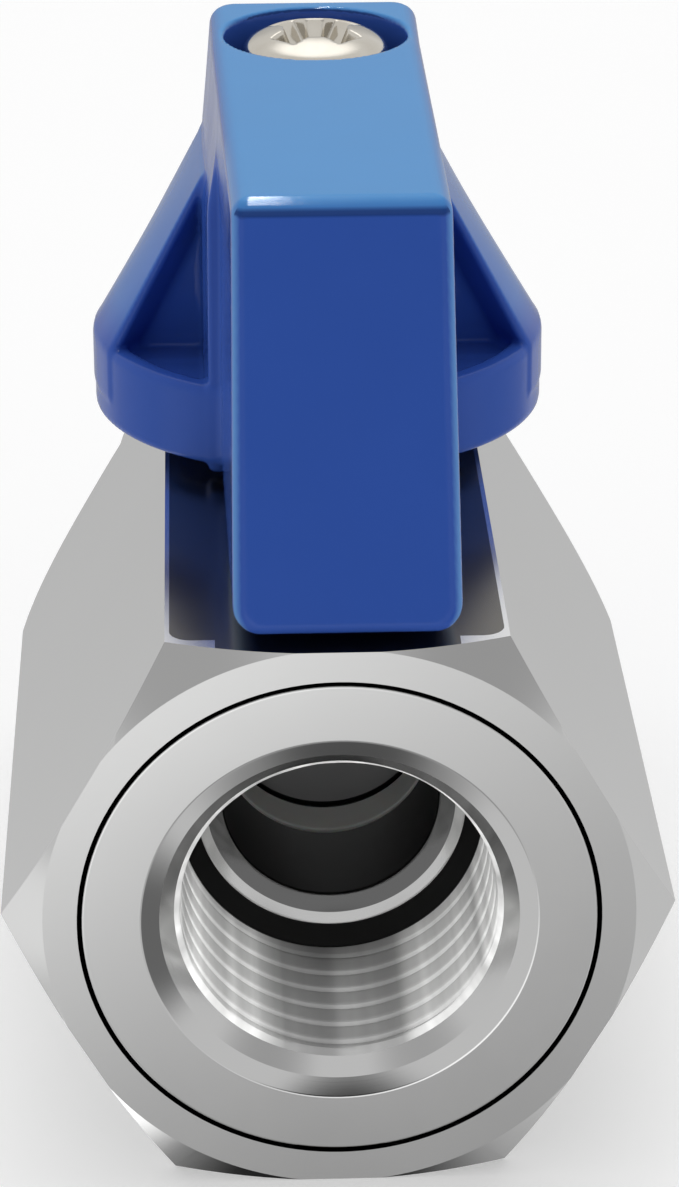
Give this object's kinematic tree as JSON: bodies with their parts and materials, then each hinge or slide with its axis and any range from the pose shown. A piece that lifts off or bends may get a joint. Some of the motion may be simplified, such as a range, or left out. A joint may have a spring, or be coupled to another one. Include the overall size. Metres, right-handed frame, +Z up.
{
  "type": "mini ball valve",
  "caption": "Quarter-turn shutoff valve: hexagon stainless body with a screwed-in end insert, a floating ball between soft seats, and an enamelled lever fixed by a recessed screw.",
  "frame": {"origin": "on the bottom flat of the hexagon, straight under the stem's axis", "axes": "+Z up the stem, +Y along the waterway from the inlet face to the outlet face, +X to the right seen from the inlet"},
  "size_m": [0.0242, 0.042, 0.0368],
  "materials": {
    "body_steel": "satin stainless",
    "insert_steel": "finely turned stainless",
    "ball_steel": "polished stainless",
    "stem_steel": "turned stainless",
    "ptfe": "white PTFE",
    "rubber": "black rubber",
    "handle_enamel": "glossy blue enamel",
    "screw_nickel": "bright nickel plate"
  },
  "bodies": {
    "valve_body": {"body": "body_steel", "end_insert": "insert_steel", "inlet_seat": "ptfe", "outlet_seat": "ptfe", "body_seal": "ptfe", "stem_thrust_washer": "ptfe"},
    "lever": {"handle": "handle_enamel", "handle_screw": "screw_nickel", "screw_lock_washer": "screw_nickel", "stem": "stem_steel", "lower_stem_o_ring": "rubber", "upper_stem_o_ring": "rubber"},
    "closure": {"ball": "ball_steel"}
  },
  "joints": [
    {"name": "handle_turn", "type": "hinge", "parent": "valve_body", "child": "lever", "pos_m": [0, 0, 0.0105], "axis": [0, 0, 1], "range_deg": [-90, 0]},
    {"name": "ball_turn", "type": "hinge", "parent": "valve_body", "child": "closure", "pos_m": [0, 0, 0.0105], "axis": [0, 0, 1], "range_deg": [-90, 0]}
  ],
  "couplings": [
    {"joint": "ball_turn", "follows": "handle_turn", "ratio": 1}
  ]
}
